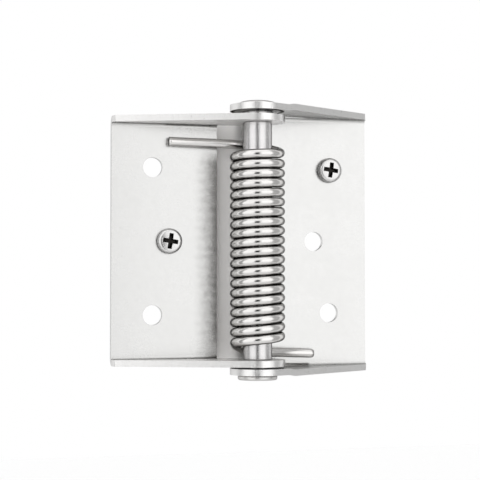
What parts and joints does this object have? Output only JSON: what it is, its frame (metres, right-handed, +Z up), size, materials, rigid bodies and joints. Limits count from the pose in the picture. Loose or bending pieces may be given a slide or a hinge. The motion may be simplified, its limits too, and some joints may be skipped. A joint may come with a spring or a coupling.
{
  "type": "spring door hinge",
  "caption": "Surface-mounted self-closing door hinge: two pressed leaves on a riveted pin, pushed flat by a torsion spring.",
  "frame": {"origin": "on the back face of the fixed leaf, directly behind the pin's axis and at mid height", "axes": "+X from the pin towards the fixed leaf's free edge, +Y into the wall, +Z up along the pin"},
  "size_m": [0.0845, 0.0382, 0.0868],
  "materials": {
    "leaf_sheet": "satin pickled stainless sheet",
    "turned_steel": "smooth turned stainless",
    "spring_wire": "drawn stainless spring wire",
    "screw_steel": "rolled and headed stainless"
  },
  "bodies": {
    "frame_leaf": {"fixed_leaf": "leaf_sheet", "hinge_pin": "turned_steel", "upper_washer": "turned_steel", "lower_washer": "turned_steel", "torsion_spring": "spring_wire", "fixed_leaf_screw": "screw_steel"},
    "door_leaf": {"swing_leaf": "leaf_sheet", "swing_leaf_screw": "screw_steel"},
    "sleeve": {"pin_sleeve": "turned_steel"}
  },
  "joints": [
    {"name": "door_swing", "type": "hinge", "parent": "frame_leaf", "child": "door_leaf", "pos_m": [0, -0.0157, 0], "axis": [0, 0, 1], "range_deg": [0, 175], "stiffness_Nm_per_rad": 0.8, "springref_deg": -68.75, "deforming": ["torsion_spring"]},
    {"name": "sleeve_turn", "type": "hinge", "parent": "frame_leaf", "child": "sleeve", "pos_m": [0, -0.0157, 0], "axis": [0, 0, 1], "continuous": true}
  ]
}
